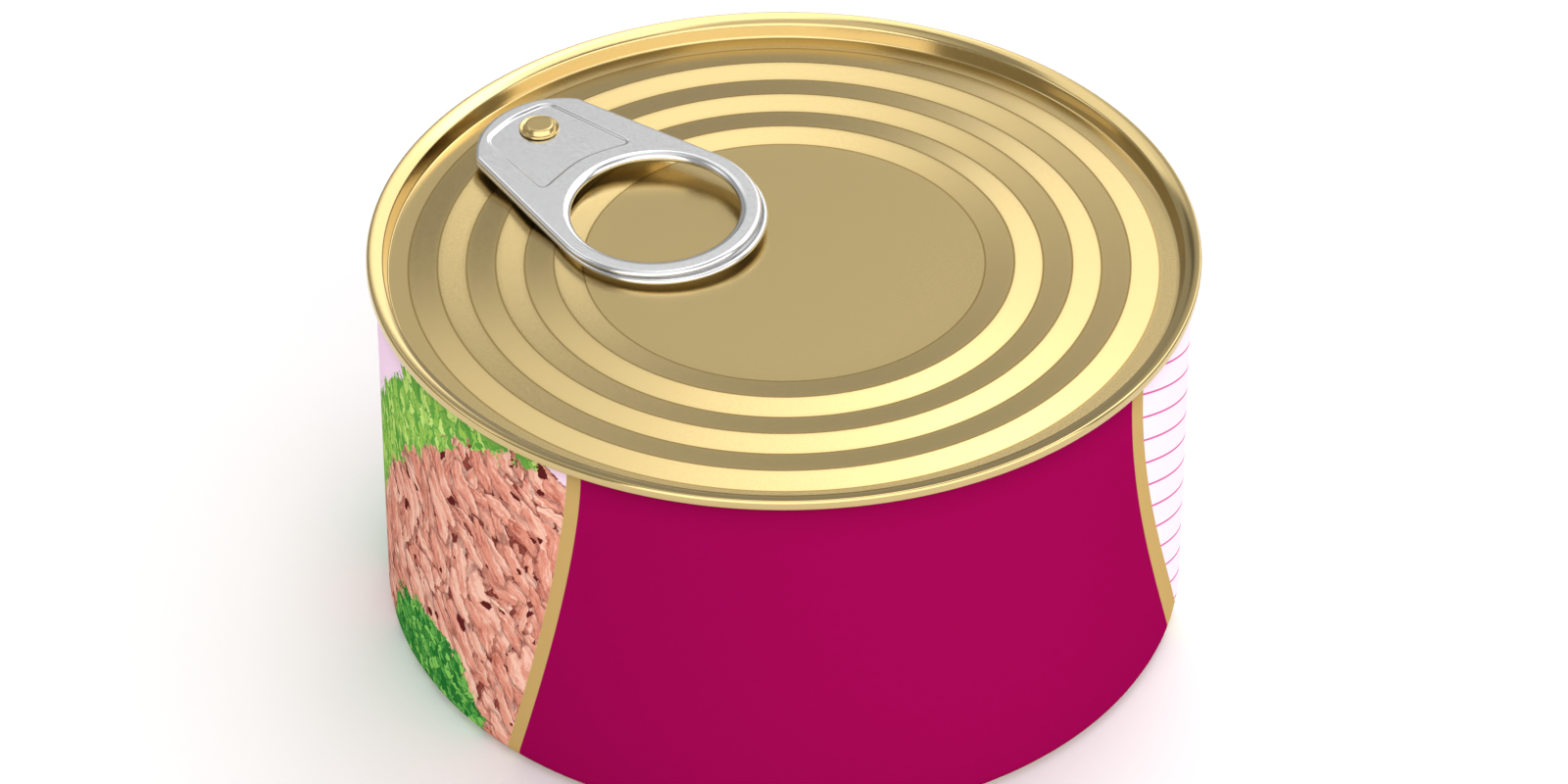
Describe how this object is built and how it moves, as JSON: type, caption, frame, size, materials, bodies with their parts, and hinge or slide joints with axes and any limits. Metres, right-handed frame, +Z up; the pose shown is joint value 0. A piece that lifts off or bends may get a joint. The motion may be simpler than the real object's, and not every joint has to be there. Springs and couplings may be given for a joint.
{
  "type": "tuna can",
  "caption": "Shallow round food can, shut, with a gold stepped easy-open end, a riveted ring pull and a printed side.",
  "frame": {"origin": "on the surface the can stands on, under the middle of the can", "axes": "+Z up through the middle of the end; -Y is the front, with the plain printed panel; the ring pull's rivet is at the back left, between -X and +Y"},
  "size_m": [0.0868, 0.0868, 0.0439],
  "materials": {
    "printed_steel": "gloss varnish over print",
    "gold_lacquer_end": "gold lacquer over satin rolled metal",
    "tab_aluminium": "satin, with bright rolled edges"
  },
  "bodies": {
    "root": {"can_body": "printed_steel", "easy_open_end": "gold_lacquer_end", "pull_tab": "tab_aluminium"}
  },
  "joints": []
}
